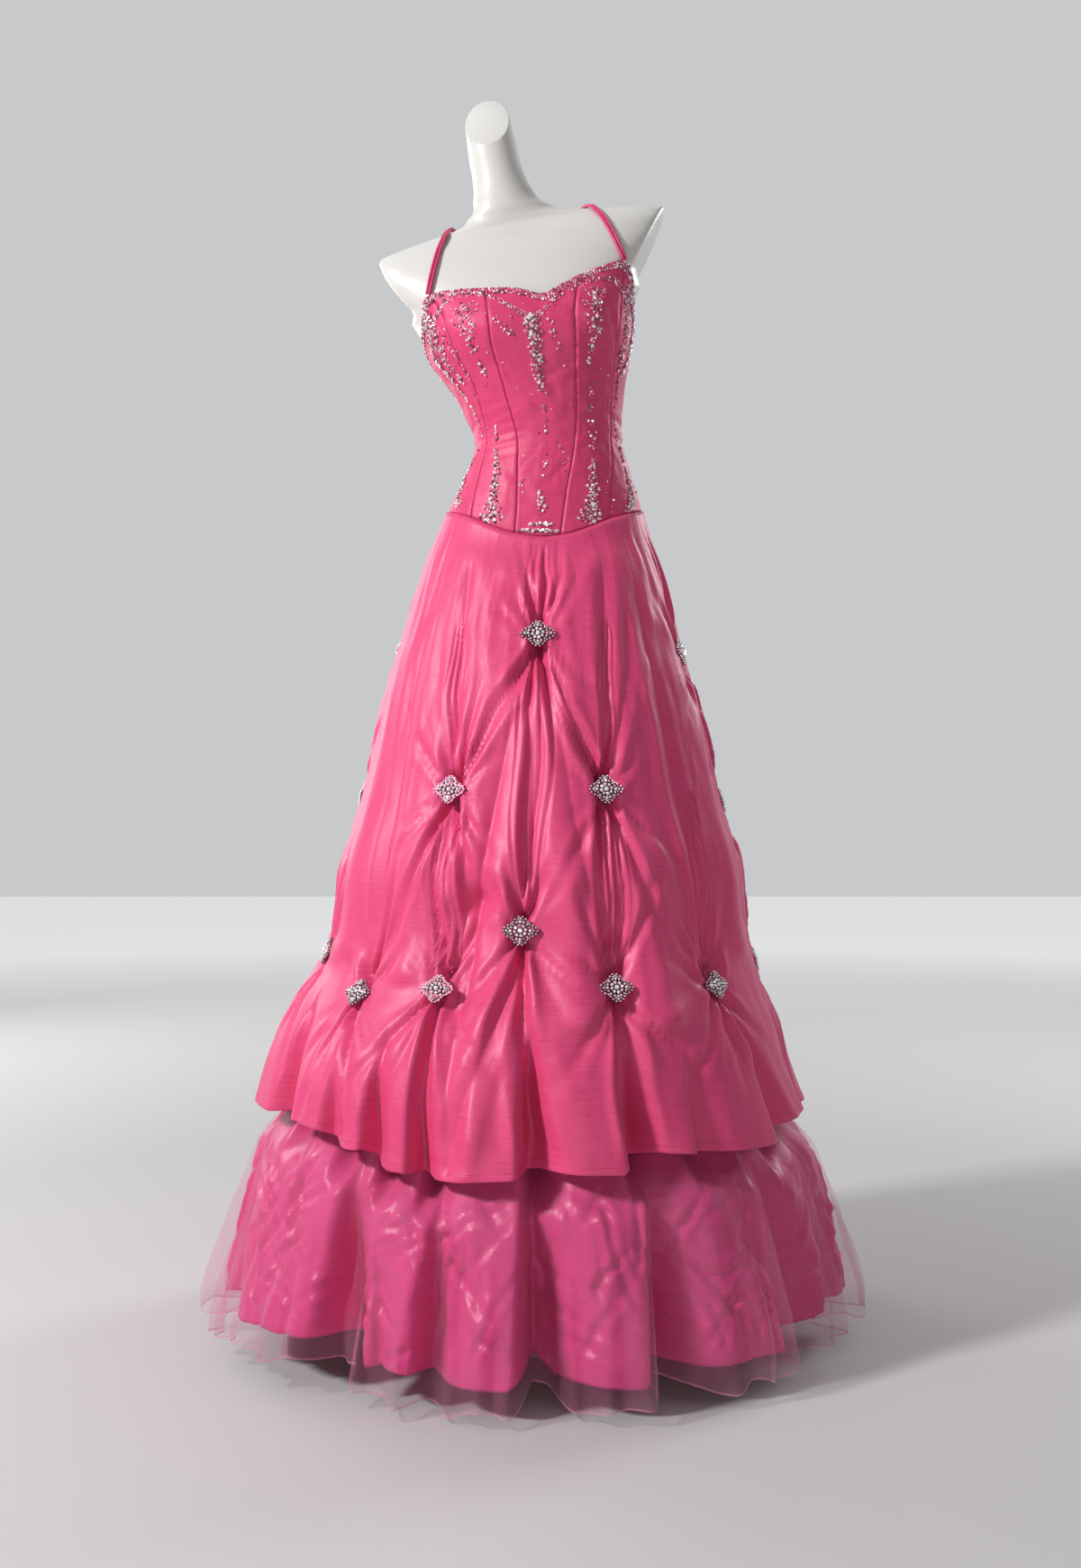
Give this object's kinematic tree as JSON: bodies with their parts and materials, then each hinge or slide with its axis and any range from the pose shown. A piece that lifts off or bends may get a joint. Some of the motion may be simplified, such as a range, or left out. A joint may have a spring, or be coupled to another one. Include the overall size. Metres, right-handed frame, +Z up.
{
  "type": "a-line evening dress on a dress form",
  "caption": "Floor-length a-line evening dress with fitted strapped bodice, gathered overskirt with jewelled brooches, flared underskirt and tulle, on a limbless dress form.",
  "frame": {"origin": "centre of the stand's foot, on the floor", "axes": "+Z up, the front faces -Y, +X to the viewer's right when seen from the front"},
  "size_m": [0.8565, 0.8475, 1.5924],
  "materials": {
    "bodice_satin": "satin weave, beaded",
    "taffeta": "crisp sheen",
    "underskirt_taffeta": "crisp sheen",
    "tulle": "sheer net",
    "strap_satin": "rolled satin",
    "brooch_silver": "polished, set with clear crystals",
    "zip_metal": "painted to match",
    "form_white": "smooth, half gloss",
    "stand_metal": "brushed"
  },
  "bodies": {
    "gown_on_form": {"bodice_back_left": "bodice_satin", "bodice_back_right": "bodice_satin", "bodice_front_centre": "bodice_satin", "bodice_side_front_left": "bodice_satin", "bodice_side_front_right": "bodice_satin", "bodice_side_left": "bodice_satin", "bodice_side_right": "bodice_satin", "brooch_01": "brooch_silver", "brooch_02": "brooch_silver", "brooch_03": "brooch_silver", "brooch_04": "brooch_silver", "brooch_05": "brooch_silver", "brooch_06": "brooch_silver", "brooch_07": "brooch_silver", "brooch_08": "brooch_silver", "brooch_09": "brooch_silver", "brooch_10": "brooch_silver", "brooch_11": "brooch_silver", "brooch_12": "brooch_silver", "brooch_13": "brooch_silver", "brooch_14": "brooch_silver", "brooch_15": "brooch_silver", "brooch_16": "brooch_silver", "brooch_17": "brooch_silver", "brooch_18": "brooch_silver", "brooch_19": "brooch_silver", "brooch_20": "brooch_silver", "brooch_21": "brooch_silver", "brooch_22": "brooch_silver", "form_foot": "stand_metal", "form_pole": "stand_metal", "form_torso": "form_white", "overskirt_back_left": "taffeta", "overskirt_back_right": "taffeta", "overskirt_front": "taffeta", "strap_left": "strap_satin", "strap_right": "strap_satin", "tulle_back": "tulle", "tulle_front": "tulle", "underskirt_back_left": "underskirt_taffeta", "underskirt_back_right": "underskirt_taffeta", "underskirt_front": "underskirt_taffeta", "zip_slider": "zip_metal"},
    "pull_tab": {"zip_pull_tab": "zip_metal"}
  },
  "joints": [
    {"name": "pull_tab_hinge", "type": "hinge", "parent": "gown_on_form", "child": "pull_tab", "pos_m": [0.00874, 0.09406, 1.222], "axis": [1, 0, 0], "range_deg": [0, 150]}
  ]
}
